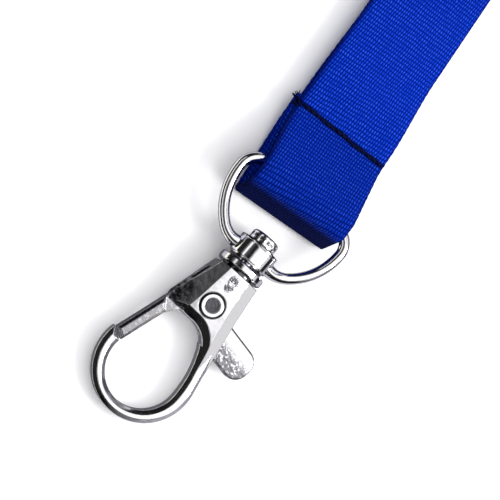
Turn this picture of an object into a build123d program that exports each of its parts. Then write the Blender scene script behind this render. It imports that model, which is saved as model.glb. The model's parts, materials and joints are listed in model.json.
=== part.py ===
"""Lanyard end: a 19 mm woven strap sewn round the D-ring of a swivelling lobster-claw snap hook.

The hook, ring and pivot lie in one tilted plane, hook_plane: local x across, local y along the
swivel axis from the gate pivot towards the strap, local z out of the front face.
"""
from math import asin, atan2, cos, degrees, radians, sin, sqrt
import os

from build123d import *

# ---- where the hook lies (mm, +Z up, on the plane z = 0, claw towards -Y) ----
AXIS_X = 4.34  # the swivel axis
PIVOT_Y = -66.6
PIVOT_X = -0.3  # the gate pivot, from the swivel axis

# ---- hook body: neck and collar, round the swivel axis ----
COLLAR_R = 4.4
COLLAR_T = 1.45
COLLAR_Y = 7.3  # near face of the collar, from the pivot
COLLAR_BEVEL = 0.25
NECK_GROOVE = 0.5
NECK_GROOVE_R = 3.3
NECK_HALF_W = 3.9
NECK_HALF_T = 3.7

# ---- hook body: claw ----
CLAW_R = 9.1
CLAW_CENTRE = (-1.3, -14.9)
EYE_R = 6.65
EYE_CENTRE = (-1.4, -15.3)
CLAW_T = 3.5
CLAW_BEVEL = 0.75

# ---- hook body: cheeks ----
CHEEK_HALF_T = 3.05  # at the pivot
BLEND_Y = -11.2  # where the cheeks have thinned to the claw
SHOULDER = (5.0, -0.2)  # the right flank turns down to the claw here
EYE_TOP_RIGHT = (3.4, -7.0)
EYE_TOP = (-1.4, -4.25)
HEEL = (-5.6, -4.05)
HEEL_CORNER = (-6.75, -2.7)
LEFT_FACET_X = (-2.2, -2.9)  # edge of the front face at the neck and at the pivot
RIGHT_FACET_X = (1.8, 2.9)
LEFT_DROP = 1.5  # fall of the left facet from the face to the heel
RIGHT_DROP = 0.95

# ---- gate lever ----
GATE_OPEN = 30.0  # degrees
GATE_REACH = 15.9  # gate end, from the pivot
GATE_GAP = 0.3  # gate end to nose
GATE_CORNER = (-6.6, -3.0)  # the gate's outer edge meets the body here
GATE_LEAN = 72.6  # degrees, direction of the gate
GATE_W = 2.1
GATE_T = 3.2
GATE_BEVEL = 0.5
HUB_WALL = 0.4  # lever's wall round the spring pocket
LEVER_T = 2.3
LEVER_SHOULDER = (-5.1, 1.6)
LEVER_STEP = (3.2, 1.0)  # the lever's full thickness follows the tab's upper edge between these
WEB_ROOF = -3.7  # the lever's edge hidden above the eye
SLOT_PLAY = 0.15
SLOT_ROOF = 0.6  # wall between slot and stud
STOP_PLAY = 0.12
STEP_PLAY = 0.45  # heel corner to the gate's full thickness
TAB_TOP = (5.6, -0.4)  # a point on the tab's upper edge
TAB_TILT = -10.7
TAB_W = 5.85
TAB_T = 1.7
TAB_REACH = 7.75  # tab end, from that point
TAB_CORNER_R = 2.5
TAB_BEVEL = 0.3
TAB_ROOT = (5.2, 1.6)  # how far the tab's upper and lower edges run inside the body

# ---- pivot rivet ----
PIN_R = 1.15
PIN_PLAY = 0.05
RIVET_HEAD_R = 2.2
RIVET_SEAT = 0.7
RIVET_SEAT_PLAY = 0.1
RIVET_PROUD = 0.25
RIVET_CUP_R = 1.35
RIVET_CUP = 0.55
RIVET_BEVEL = 0.25

# ---- gate spring, round the rivet in the lever's pocket ----
WIRE_R = 0.2
WIRE_END_R = 0.19
COIL_PLAY = 0.27  # coil round the pin
COIL_PITCH = 0.45
COIL_TURNS = 2
SPRING_ARM_ANGLE = -37.0  # where the coil starts
SPRING_ARM = 2.6
SPRING_TAIL = 2.4
POCKET_PLAY = 0.68  # pocket round the coil
POCKET_FLOOR = -0.15
SPRING_PLAY = 0.08
ARM_CHANNEL_W = 0.7

# ---- swivel stud ----
STUD_R = 1.45
STUD_PLAY = 0.06
STUD_SUNK = 1.7  # pressed into the neck, below the collar's near face
STUD_HEAD_R = 2.6
STUD_HEAD_T = 1.9
STUD_HEAD_ROUND = 0.55
PEEN_MARKS = 8
PEEN_R = 0.3
PEEN_DEPTH = 0.25

# ---- D-ring with its boss ----
BOSS_R = 3.75
BOSS_T = 3.4
BOSS_RIM_R = 3.35
BOSS_RIM_T = 0.45
BOSS_GAP = 0.4  # collar to boss
BOSS_GROOVE = 0.18
HEAD_GAP = 0.1  # boss to stud head
RING_WIRE_R = 0.97
RING_SIDE_PLAY = 1.23  # strap's edge to the wire
RING_CORNER_R = 3.2
BOW_END = 38.0  # degrees either side of the axis, where the bow turns into the boss
BOW_FOOT_RISE = 0.68  # that place, past the middle of the boss
ROOT_WIRE_R = 1.4

# ---- strap, in its own side view: s from the ring bar, h above the table ----
STRAP_W = 19.0
STRAP_T = 1.0
STRAP_YAW = 5.2  # degrees the strap lies off the swivel axis
LAYER_GAP = 0.06
FOLD_R = 2.9  # centreline of the fold round the bar
FOLD_SET = 0.1  # fold centre behind the bar
SEAM_S = 13.0
SEAM_LIFT = 1.6  # underside of the sewn stack above the table
SEAM_FLAT = 1.5  # the stack lies level this far before the seam
FLAP_TAIL = 1.3
REAR_TAIL = 1.6
TOUCH_S = 32.0  # the legs reach the table here
BEND_R = 9.0
SEAM_BEND_R = 2.5
HANK_S = 58.5
HANK_L = 74.0
HANK_RUNS = 6
HANK_ROUND = 2.5
BAND_W = 8.0
BAND_T = 0.8
BAND_PLAY = 0.15

# ---- seam stitches ----
STITCH_R = 0.22
STITCH_PITCH = 3.2
STITCH_LEN = 2.5
STITCH_MARGIN = 0.8
STITCH_CLEAR = 0.02

# ---- derived places ----
tilt = asin((COLLAR_R - CLAW_T / 2) / (COLLAR_Y - CLAW_CENTRE[1] + CLAW_R))
pivot_h = (COLLAR_R - COLLAR_Y * sin(tilt)) / cos(tilt)
hook_plane = Plane(
    origin=(AXIS_X, PIVOT_Y, pivot_h), x_dir=(1, 0, 0), z_dir=(0, -sin(tilt), cos(tilt))
)
side_plane = Plane(origin=hook_plane.origin, x_dir=hook_plane.y_dir, z_dir=hook_plane.x_dir)
swivel_axis = Axis(hook_plane.origin, hook_plane.y_dir)
face_axis = Axis(hook_plane.origin, hook_plane.z_dir)

pivot = (PIVOT_X, 0)
neck_y = COLLAR_Y - NECK_GROOVE
collar_end = COLLAR_Y + COLLAR_T
boss_y = collar_end + BOSS_GAP
boss_end = boss_y + BOSS_RIM_T + BOSS_T
head_y = boss_end + HEAD_GAP
boss_mid = boss_y + BOSS_RIM_T + BOSS_T / 2
bow_r = STRAP_W / 2 + RING_SIDE_PLAY + RING_WIRE_R
bow_centre_y = boss_mid + BOW_FOOT_RISE + bow_r * cos(radians(BOW_END))
bar_y = bow_centre_y + RING_CORNER_R
slot_half = LEVER_T / 2 + SLOT_PLAY
coil_r = PIN_R + COIL_PLAY + WIRE_R
pocket_r = coil_r + WIRE_R + POCKET_PLAY
hub_r = pocket_r + HUB_WALL
nose_r = GATE_REACH + GATE_GAP
step_r = sqrt((HEEL_CORNER[0] - PIVOT_X) ** 2 + HEEL_CORNER[1] ** 2) + STEP_PLAY


def across(y):
    """The plane square to the swivel axis at a distance from the pivot."""
    return Plane(
        origin=hook_plane.from_local_coords(Vector(0, y, 0)), x_dir=(1, 0, 0), z_dir=hook_plane.y_dir
    )


def circles_meet(c1, r1, c2, r2):
    """The left-hand crossing of two circles."""
    dx, dy = c2[0] - c1[0], c2[1] - c1[1]
    d = sqrt(dx * dx + dy * dy)
    a = (r1 * r1 - r2 * r2 + d * d) / (2 * d)
    h = sqrt(r1 * r1 - a * a)
    mx, my = c1[0] + a * dx / d, c1[1] + a * dy / d
    return min((mx + h * dy / d, my - h * dx / d), (mx - h * dy / d, my + h * dx / d))


def tangent_point(point, centre, radius, side):
    """Where a line from a point touches a circle; side is 1 or -1."""
    dx, dy = point[0] - centre[0], point[1] - centre[1]
    d = sqrt(dx * dx + dy * dy)
    angle = atan2(dy, dx) + side * atan2(sqrt(d * d - radius * radius), radius)
    return (centre[0] + radius * cos(angle), centre[1] + radius * sin(angle))


def run_to_radius(start, angle, radius):
    """The point on a line from start, on a circle about the pivot."""
    ux, uy = cos(radians(angle)), sin(radians(angle))
    x, y = start[0] - PIVOT_X, start[1]
    along = x * ux + y * uy
    step = -along + sqrt(along * along - (x * x + y * y) + radius * radius)
    return (start[0] + step * ux, start[1] + step * uy)


def polar(radius, angle):
    """A point at a radius and an angle about the pivot."""
    return (PIVOT_X + radius * cos(radians(angle)), radius * sin(radians(angle)))


def turned(point, angle):
    """A point of the front view turned about the pivot."""
    x, y = point[0] - PIVOT_X, point[1]
    return polar(sqrt(x * x + y * y), degrees(atan2(y, x)) + angle)


def half_thickness(y):
    """Half the cheeks' thickness at a distance from the pivot."""
    if y > 0:
        return CHEEK_HALF_T + (NECK_HALF_T - CHEEK_HALF_T) * y / neck_y
    return CHEEK_HALF_T - (CHEEK_HALF_T - CLAW_T / 2) * y / BLEND_Y


def facet(edge_x, low_point, drop, front):
    """The plane of a side facet: through an edge of the face and a lower point at the flank."""
    local = (
        (edge_x[0], neck_y, half_thickness(neck_y)),
        (edge_x[1], 0, half_thickness(0)),
        (low_point[0], low_point[1], half_thickness(low_point[1]) - drop),
    )
    a, b, c = [hook_plane.from_local_coords(Vector(x, y, front * z)) for x, y, z in local]
    normal = (b - a).cross(c - a)
    if normal.dot(hook_plane.z_dir) * front < 0:
        normal = -normal
    return Plane(origin=a, x_dir=b - a, z_dir=normal)


def tab_point(along, down):
    """A point of the thumb tab, from TAB_TOP along its upper edge and down across it."""
    c, s = cos(radians(TAB_TILT)), sin(radians(TAB_TILT))
    return (TAB_TOP[0] + along * c + down * s, TAB_TOP[1] + along * s - down * c)


def eye_side(plane):
    """The open space beside the cheeks: the eye's upper half and all beyond the heel."""
    with BuildSketch(plane) as space:
        with BuildLine():
            side = TangentArc(eye_right, EYE_TOP_RIGHT, tangent=(0, 1))
            TangentArc(EYE_TOP_RIGHT, EYE_TOP, tangent=side % 1)
            Polyline(EYE_TOP, HEEL, (-2 * CLAW_R, HEEL[1]), (-2 * CLAW_R, eye_right[1]), eye_right)
        make_face()
    return space.sketch


os.makedirs("parts", exist_ok=True)

# ---- claw: a bevelled C running from the body round to the nose ----
flank_foot = tangent_point(SHOULDER, CLAW_CENTRE, CLAW_R, -1)
claw_bottom = (CLAW_CENTRE[0], CLAW_CENTRE[1] - CLAW_R)
eye_bottom = (EYE_CENTRE[0], EYE_CENTRE[1] - EYE_R)
eye_right = (EYE_CENTRE[0] + EYE_R, EYE_CENTRE[1])
nose_outer = circles_meet(CLAW_CENTRE, CLAW_R, pivot, nose_r)
nose_inner = circles_meet(EYE_CENTRE, EYE_R, pivot, nose_r)

with BuildPart() as claw:
    with BuildSketch(hook_plane):
        with BuildLine():
            Line(SHOULDER, flank_foot)
            ThreePointArc(flank_foot, claw_bottom, nose_outer)
            Line(nose_outer, nose_inner)
            ThreePointArc(nose_inner, eye_bottom, eye_right)
            rise = TangentArc(eye_right, EYE_TOP_RIGHT, tangent=(0, 1))
            TangentArc(EYE_TOP_RIGHT, EYE_TOP, tangent=rise % 1)
            Polyline(EYE_TOP, (EYE_TOP[0], SHOULDER[1]), SHOULDER)
        make_face()
    extrude(amount=CLAW_T / 2, both=True)
    chamfer(claw.faces().filter_by(face_axis).edges(), length=CLAW_BEVEL)

# ---- bevel cutter: carries the claw's inner bevel on round the underside of the cheeks ----
with BuildPart() as bevel_cutter:
    extrude(eye_side(hook_plane.offset(CLAW_T / 2 - CLAW_BEVEL)), amount=NECK_HALF_T, taper=-45)
    mirror(about=hook_plane)

# ---- body block: the cheeks, thinning from the neck down to the claw ----
blend_outer = (SHOULDER[0] + (flank_foot[0] - SHOULDER[0]) * BLEND_Y / flank_foot[1], BLEND_Y)

with BuildPart() as body_block:
    with BuildSketch(hook_plane):
        with BuildLine():
            Polyline((-NECK_HALF_W, neck_y), (NECK_HALF_W, neck_y), SHOULDER, blend_outer)
            Polyline(blend_outer, (EYE_TOP_RIGHT[0], BLEND_Y), EYE_TOP_RIGHT, EYE_TOP, HEEL)
            TangentArc(HEEL, HEEL_CORNER, tangent=(-1, 0.1))
            Line(HEEL_CORNER, (-NECK_HALF_W, neck_y))
        make_face()
    extrude(amount=NECK_HALF_T, both=True)
    with BuildSketch(side_plane):
        with BuildLine():
            Polyline(
                (neck_y, NECK_HALF_T),
                (0, CHEEK_HALF_T),
                (BLEND_Y, CLAW_T / 2),
                (BLEND_Y, -CLAW_T / 2),
                (0, -CHEEK_HALF_T),
                (neck_y, -NECK_HALF_T),
                close=True,
            )
        make_face()
    extrude(amount=2 * CLAW_R, both=True, mode=Mode.INTERSECT)
    for front in (1, -1):
        split(bisect_by=facet(LEFT_FACET_X, HEEL_CORNER, LEFT_DROP, front), keep=Keep.BOTTOM)
        split(bisect_by=facet(RIGHT_FACET_X, SHOULDER, RIGHT_DROP, front), keep=Keep.BOTTOM)
    add(bevel_cutter.part, mode=Mode.SUBTRACT)
    extrude(eye_side(hook_plane), amount=NECK_HALF_T, both=True, mode=Mode.SUBTRACT)

# ---- hook body: cheeks, claw, neck and collar, cut for the lever, rivet and stud ----
stop_low = tab_point(TAB_REACH, TAB_W + STOP_PLAY)
swing_low = tab_point(-TAB_ROOT[0], TAB_W + STOP_PLAY)
stop_high = turned(tab_point(TAB_REACH, -STOP_PLAY), GATE_OPEN)
swing_high = turned(tab_point(-TAB_ROOT[0] / 2, -STOP_PLAY), GATE_OPEN)
hub_clear = polar(hub_r + 4 * STOP_PLAY, 75)
slot_roof = COLLAR_Y - STUD_SUNK - SLOT_ROOF
seat_h = CHEEK_HALF_T - RIVET_SEAT

with BuildPart() as hook_body:
    add(body_block.part)
    add(claw.part)
    with BuildSketch(side_plane):
        with BuildLine():
            Polyline(
                (neck_y - NECK_GROOVE, 0),
                (neck_y - NECK_GROOVE, NECK_GROOVE_R),
                (COLLAR_Y, NECK_GROOVE_R),
                (COLLAR_Y, COLLAR_R - COLLAR_BEVEL),
                (COLLAR_Y + COLLAR_BEVEL, COLLAR_R),
                (collar_end - COLLAR_BEVEL, COLLAR_R),
                (collar_end, COLLAR_R - COLLAR_BEVEL),
                (collar_end, 0),
                close=True,
            )
        make_face()
    revolve(axis=swivel_axis)
    with BuildSketch(hook_plane):
        with BuildLine():
            Polyline(
                swing_low,
                stop_low,
                stop_high,
                swing_high,
                hub_clear,
                (hub_clear[0], slot_roof),
                (-2 * CLAW_R, slot_roof),
                (-2 * CLAW_R, swing_low[1]),
                close=True,
            )
        make_face()
    extrude(amount=slot_half, both=True, mode=Mode.SUBTRACT)
    with BuildSketch(across(COLLAR_Y - STUD_SUNK)):
        Circle(STUD_R)
    extrude(amount=STUD_SUNK + COLLAR_T, mode=Mode.SUBTRACT)
    with BuildSketch(hook_plane):
        with Locations(pivot):
            Circle(PIN_R)
    extrude(amount=NECK_HALF_T, both=True, mode=Mode.SUBTRACT)
    with BuildSketch(hook_plane.offset(seat_h)):
        with Locations(pivot):
            Circle(RIVET_HEAD_R + RIVET_SEAT_PLAY)
    extrude(amount=2 * RIVET_SEAT, mode=Mode.SUBTRACT)
    with BuildSketch(hook_plane.offset(-seat_h)):
        with Locations(pivot):
            Circle(RIVET_HEAD_R + RIVET_SEAT_PLAY)
    extrude(amount=-2 * RIVET_SEAT, mode=Mode.SUBTRACT)
hook_body.part.label = "hook_body"
export_step(hook_body.part, "parts/hook_body.step")

# ---- gate bar: the full-thickness end of the lever, closing the claw ----
lean = radians(GATE_LEAN)
gate_inner = (GATE_CORNER[0] + GATE_W * sin(lean), GATE_CORNER[1] - GATE_W * cos(lean))
gate_end_outer = run_to_radius(GATE_CORNER, GATE_LEAN + 180, GATE_REACH)
gate_end_inner = run_to_radius(gate_inner, GATE_LEAN + 180, GATE_REACH)

with BuildPart() as gate_bar:
    with BuildSketch(hook_plane):
        with BuildLine():
            Polyline(gate_end_outer, GATE_CORNER, gate_inner, gate_end_inner, close=True)
        make_face()
        with Locations(pivot):
            Circle(step_r, mode=Mode.SUBTRACT)
            Circle(GATE_REACH, mode=Mode.INTERSECT)
    extrude(amount=GATE_T / 2, both=True)
    chamfer(gate_bar.faces().filter_by(face_axis).edges(), length=GATE_BEVEL)

# ---- thumb tab ----
with BuildPart() as thumb_tab:
    with BuildSketch(hook_plane):
        with BuildLine():
            Polyline(
                tab_point(-TAB_ROOT[0], 0),
                tab_point(TAB_REACH, 0),
                tab_point(TAB_REACH, TAB_W),
                tab_point(-TAB_ROOT[1], TAB_W),
                close=True,
            )
        tab_face = make_face()
        fillet(tab_face.vertices().sort_by(Axis.X)[-2:], radius=TAB_CORNER_R)
    extrude(amount=TAB_T / 2, both=True)
    chamfer(thumb_tab.faces().filter_by(face_axis).edges(), length=TAB_BEVEL)

# ---- gate lever: bar, hub and tab in one, with a pocket for the spring ----
web_outer = run_to_radius(GATE_CORNER, GATE_LEAN + 180, step_r + STEP_PLAY)
web_inner = run_to_radius(gate_inner, GATE_LEAN + 180, step_r + STEP_PLAY)

with BuildPart() as gate_lever:
    with BuildSketch(hook_plane):
        with Locations(pivot):
            Circle(hub_r)
        with BuildLine():
            Polyline(
                web_outer,
                GATE_CORNER,
                LEVER_SHOULDER,
                polar(hub_r, 100),
                tab_point(-LEVER_STEP[0], 0),
                tab_point(-LEVER_STEP[1], 0),
                tab_point(-TAB_ROOT[1], TAB_W),
                (-EYE_TOP[0], WEB_ROOF),
                (HEEL[0] + 2, WEB_ROOF),
                web_inner,
                close=True,
            )
        make_face()
    extrude(amount=LEVER_T / 2, both=True)
    add(gate_bar.part)
    add(thumb_tab.part)
    with BuildSketch(hook_plane.offset(POCKET_FLOOR)):
        with Locations(pivot):
            Circle(pocket_r)
            Rectangle(2 * pocket_r, 2 * pocket_r, align=(Align.CENTER, Align.MIN))
            with Locations(Location((0, 0), SPRING_ARM_ANGLE)):
                with Locations((coil_r, 0)):
                    Rectangle(ARM_CHANNEL_W, 2 * SPRING_ARM, align=(Align.CENTER, Align.MAX))
    extrude(amount=LEVER_T, mode=Mode.SUBTRACT)
    with BuildSketch(hook_plane):
        with Locations(pivot):
            Circle(PIN_R + PIN_PLAY)
    extrude(amount=LEVER_T, both=True, mode=Mode.SUBTRACT)
gate_lever.part.label = "gate_lever"
export_step(gate_lever.part, "parts/gate_lever.step")

# ---- pivot rivet: headed both sides, the front head cupped ----
with BuildPart() as pivot_rivet:
    with BuildSketch(hook_plane):
        with Locations(pivot):
            Circle(PIN_R)
    extrude(amount=seat_h, both=True)
    with BuildSketch(hook_plane.offset(seat_h)):
        with Locations(pivot):
            Circle(RIVET_HEAD_R)
    extrude(amount=RIVET_SEAT + RIVET_PROUD)
    mirror(about=hook_plane)
    ends = pivot_rivet.faces().filter_by(face_axis).sort_by(face_axis)
    chamfer((ends[0].edges(), ends[-1].edges()), length=RIVET_BEVEL)
    with BuildSketch(hook_plane.offset(seat_h + RIVET_SEAT + RIVET_PROUD)):
        with Locations(pivot):
            Circle(RIVET_CUP_R)
    extrude(amount=-RIVET_CUP, mode=Mode.SUBTRACT)
pivot_rivet.part.label = "pivot_rivet"
export_step(pivot_rivet.part, "parts/pivot_rivet.step")

# ---- gate spring: two coils round the rivet, one arm in the lever, the tail on the slot's roof ----
coil_turns = COIL_TURNS - SPRING_ARM_ANGLE / 360
arm_turn = radians(SPRING_ARM_ANGLE)
spring_plane = Plane(
    origin=hook_plane.from_local_coords(Vector(PIVOT_X, 0, POCKET_FLOOR + SPRING_PLAY + WIRE_R)),
    x_dir=hook_plane.x_dir * cos(arm_turn) + hook_plane.y_dir * sin(arm_turn),
    z_dir=hook_plane.z_dir,
)
coil = spring_plane.location * Helix(pitch=COIL_PITCH, height=COIL_PITCH * coil_turns, radius=coil_r)
arm_start = spring_plane.from_local_coords(Vector(coil_r, -SPRING_ARM, 0))
arm_end = spring_plane.from_local_coords(Vector(coil_r, WIRE_R / 2, 0))
tail_start = coil @ 1 - hook_plane.y_dir * WIRE_R
tail_end = coil @ 1 + hook_plane.y_dir * SPRING_TAIL

with BuildPart() as gate_spring:
    with BuildSketch(Plane(origin=coil @ 0, z_dir=coil % 0)):
        Circle(WIRE_R)
    sweep(path=coil, is_frenet=True)
    for path in (Line(arm_start, arm_end, mode=Mode.PRIVATE), Line(tail_start, tail_end, mode=Mode.PRIVATE)):
        with BuildSketch(Plane(origin=path @ 0, z_dir=path % 0)):
            Circle(WIRE_END_R)
        extrude(amount=path.length)
gate_spring.part.label = "gate_spring"
export_step(gate_spring.part, "parts/gate_spring.step")

# ---- swivel stud: pressed into the neck, headed over the ring's boss ----
with BuildPart() as swivel_stud:
    with BuildSketch(across(COLLAR_Y - STUD_SUNK)):
        Circle(STUD_R)
    extrude(amount=head_y - COLLAR_Y + STUD_SUNK)
    with BuildSketch(across(head_y)):
        Circle(STUD_HEAD_R)
    extrude(amount=STUD_HEAD_T)
    head_end = swivel_stud.faces().filter_by(swivel_axis).sort_by(swivel_axis)[-1]
    fillet(head_end.edges(), radius=STUD_HEAD_ROUND)
    with BuildSketch(across(head_y + STUD_HEAD_T)):
        with PolarLocations(STUD_HEAD_R - STUD_HEAD_ROUND - PEEN_R / 2, PEEN_MARKS):
            Circle(PEEN_R)
    extrude(amount=-PEEN_DEPTH, mode=Mode.SUBTRACT)
swivel_stud.part.label = "swivel_stud"
export_step(swivel_stud.part, "parts/swivel_stud.step")

# ---- D-ring: bar, corners, bow and thickened roots, with a bored boss on the swivel axis ----
half_bar = bow_r - RING_CORNER_R
bow_foot = (bow_r * sin(radians(BOW_END)), bow_centre_y - bow_r * cos(radians(BOW_END)))
bow_mid = (bow_r * cos(radians(BOW_END / 2)), bow_centre_y - bow_r * sin(radians(BOW_END / 2)))
groove_y = boss_end - 2 * BOSS_GROOVE

with BuildLine(hook_plane) as half_bow:
    Line((0, bar_y), (half_bar, bar_y))
    ThreePointArc(
        (half_bar, bar_y),
        (half_bar + RING_CORNER_R * cos(radians(45)), bow_centre_y + RING_CORNER_R * sin(radians(45))),
        (bow_r, bow_centre_y),
    )
    bow = ThreePointArc((bow_r, bow_centre_y), bow_mid, bow_foot)
foot_slope = (-cos(radians(BOW_END)), -sin(radians(BOW_END)))
root_arc = hook_plane.location * TangentArc(bow_foot, (BOSS_R * 2 / 3, boss_mid), tangent=foot_slope)

with BuildPart() as swivel_ring:
    with BuildSketch(Plane(origin=half_bow.line @ 0, z_dir=half_bow.line % 0)):
        Circle(RING_WIRE_R)
    sweep(path=half_bow.line)
    for along in (0, 0.5, 1):
        section = Plane(origin=root_arc @ along, x_dir=hook_plane.z_dir, z_dir=root_arc % along)
        with BuildSketch(section):
            Circle(RING_WIRE_R + (ROOT_WIRE_R - RING_WIRE_R) * along**2)
    loft()
    mirror(about=side_plane)
    with BuildSketch(side_plane):
        with BuildLine():
            Polyline(
                (boss_y, 0),
                (boss_y, BOSS_RIM_R),
                (boss_y + BOSS_RIM_T, BOSS_RIM_R),
                (boss_y + BOSS_RIM_T, BOSS_R),
                (groove_y - BOSS_GROOVE, BOSS_R),
                (groove_y - BOSS_GROOVE / 2, BOSS_R - BOSS_GROOVE),
                (groove_y, BOSS_R),
                (boss_end, BOSS_R),
                (boss_end, 0),
                close=True,
            )
        make_face()
    revolve(axis=swivel_axis)
    with BuildSketch(across(boss_y)):
        Circle(STUD_R + STUD_PLAY)
    extrude(amount=BOSS_RIM_T + BOSS_T, mode=Mode.SUBTRACT)
swivel_ring.part.label = "swivel_ring"
export_step(swivel_ring.part, "parts/swivel_ring.step")

# ---- strap: its side view stands on the table and runs off the bar at the yaw ----
bar = hook_plane.from_local_coords(Vector(0, bar_y, 0))
yaw = radians(STRAP_YAW)
strap_dir = Vector(-sin(yaw), cos(yaw), 0)
strap_cross = Vector(cos(yaw), sin(yaw), 0)
strap_side = Plane(origin=(bar.X, bar.Y, 0), x_dir=strap_dir, z_dir=strap_cross)
layer = STRAP_T + LAYER_GAP
rear_h = SEAM_LIFT + STRAP_T / 2
flap_h = rear_h + layer
front_h = flap_h + layer
fold_centre = (FOLD_SET, bar.Z)
stack_s = SEAM_S - SEAM_FLAT
stack_end = SEAM_S + FLAP_TAIL
fold_top = tangent_point((stack_s, front_h), fold_centre, FOLD_R, 1)
fold_low = tangent_point((stack_s, flap_h), fold_centre, FOLD_R, -1)
hank_h = HANK_RUNS * 2 * layer

with BuildPart() as strap_ring_loop:
    with BuildSketch(strap_side):
        with BuildLine():
            FilletPolyline((SEAM_S, front_h), (stack_s, front_h), fold_top, radius=SEAM_BEND_R)
            ThreePointArc(fold_top, (FOLD_SET - FOLD_R, bar.Z), fold_low)
            FilletPolyline(fold_low, (stack_s, flap_h), (stack_end, flap_h), radius=SEAM_BEND_R)
        trace(line_width=STRAP_T)
    extrude(amount=STRAP_W / 2, both=True)
strap_ring_loop.part.label = "strap_ring_loop"
export_step(strap_ring_loop.part, "parts/strap_ring_loop.step")

with BuildPart() as strap_front_leg:
    with BuildSketch(strap_side):
        with BuildLine():
            FilletPolyline(
                (SEAM_S, front_h),
                (stack_end + STRAP_T, front_h),
                (TOUCH_S, STRAP_T / 2 + layer),
                (HANK_S, STRAP_T / 2 + layer),
                radius=BEND_R,
            )
        trace(line_width=STRAP_T)
    extrude(amount=STRAP_W / 2, both=True)
strap_front_leg.part.label = "strap_front_leg"
export_step(strap_front_leg.part, "parts/strap_front_leg.step")

with BuildPart() as strap_rear_leg:
    with BuildSketch(strap_side):
        with BuildLine():
            FilletPolyline(
                (SEAM_S - REAR_TAIL, rear_h),
                (stack_end, rear_h),
                (TOUCH_S, STRAP_T / 2),
                (HANK_S, STRAP_T / 2),
                radius=BEND_R,
            )
        trace(line_width=STRAP_T)
    extrude(amount=STRAP_W / 2, both=True)
strap_rear_leg.part.label = "strap_rear_leg"
export_step(strap_rear_leg.part, "parts/strap_rear_leg.step")

# ---- hank: the rest of both legs, folded in line and held by a band in its waist ----
waist_s = HANK_S + HANK_L / 2
waist_t = BAND_T + BAND_PLAY

with BuildPart() as strap_hank:
    with BuildSketch(strap_side):
        with Locations((HANK_S, 0)):
            Rectangle(HANK_L, hank_h, align=(Align.MIN, Align.MIN))
        with Locations((waist_s, 0), (waist_s, hank_h)):
            Rectangle(BAND_W + 2 * BAND_PLAY, 2 * waist_t, mode=Mode.SUBTRACT)
    extrude(amount=STRAP_W / 2, both=True)
    upper_edges = strap_hank.edges().filter_by(Axis(bar, strap_cross)).sort_by(Axis.Y)
    fillet((upper_edges[0:2].sort_by(Axis.Z)[-1], upper_edges[-2:]), radius=HANK_ROUND)
strap_hank.part.label = "strap_hank"
export_step(strap_hank.part, "parts/strap_hank.step")

band_plane = Plane(
    origin=strap_side.from_local_coords(Vector(waist_s - BAND_W / 2, 0, 0)),
    x_dir=-strap_cross,
    z_dir=strap_dir,
)
band_half_w = STRAP_W / 2 + BAND_PLAY

with BuildPart() as storage_band:
    with BuildSketch(band_plane):
        Rectangle(2 * (band_half_w + BAND_T), hank_h, align=(Align.CENTER, Align.MIN))
        with Locations((0, BAND_T)):
            Rectangle(
                2 * band_half_w, hank_h - 2 * BAND_T, align=(Align.CENTER, Align.MIN), mode=Mode.SUBTRACT
            )
    extrude(amount=BAND_W)
storage_band.part.label = "storage_band"
export_step(storage_band.part, "parts/storage_band.step")

# ---- seam stitches: a row of short bars across each face of the sewn stack ----
stitch_span = STRAP_W - 2 * STITCH_MARGIN - STITCH_LEN
stitch_count = int(stitch_span / STITCH_PITCH) + 1
needle_thread_h = front_h + STRAP_T / 2 + STITCH_R + STITCH_CLEAR
bobbin_thread_h = SEAM_LIFT - STITCH_R - STITCH_CLEAR


def stitch_row(height):
    """One row of stitches across the strap at a height above the table, on the seam line."""
    plane = Plane(
        origin=strap_side.from_local_coords(Vector(SEAM_S, height, 0)), x_dir=strap_dir, z_dir=strap_cross
    )
    with BuildPart() as row:
        for i in range(stitch_count):
            middle = (i - (stitch_count - 1) / 2) * STITCH_PITCH
            with BuildSketch(plane.offset(middle - STITCH_LEN / 2)):
                Circle(STITCH_R)
            extrude(amount=STITCH_LEN)
    return row.part


needle_thread = stitch_row(needle_thread_h)
needle_thread.label = "seam_needle_thread"
export_step(needle_thread, "parts/seam_needle_thread.step")

bobbin_thread = stitch_row(bobbin_thread_h)
bobbin_thread.label = "seam_bobbin_thread"
export_step(bobbin_thread, "parts/seam_bobbin_thread.step")
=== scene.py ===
"""Looks for a lanyard end: a chromed snap hook and D-ring on a royal blue woven strap.

The frame gives every place. The metal keeps its own meshes and gets its finish here. The strap
is one ribbon, from its rear tail out and back through the hank, up to the seam and round the bar.
"""
import json
import math

import bpy
from mathutils import Matrix, Vector


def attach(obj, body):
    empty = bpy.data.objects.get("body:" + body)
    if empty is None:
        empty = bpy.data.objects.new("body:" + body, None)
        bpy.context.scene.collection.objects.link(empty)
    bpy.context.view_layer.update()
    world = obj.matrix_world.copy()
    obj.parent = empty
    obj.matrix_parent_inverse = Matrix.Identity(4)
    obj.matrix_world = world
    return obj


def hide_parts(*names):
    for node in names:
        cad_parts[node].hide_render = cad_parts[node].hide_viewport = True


bl_info = {
    "name": "Lanyard End",
    "version": (1, 0, 0),
    "blender": (4, 5, 0),
    "location": "View3D > Sidebar > Lanyard",
    "description": "Weaves the strap, sews its seam and finishes the metal of a lanyard end",
    "category": "Object",
}

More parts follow.
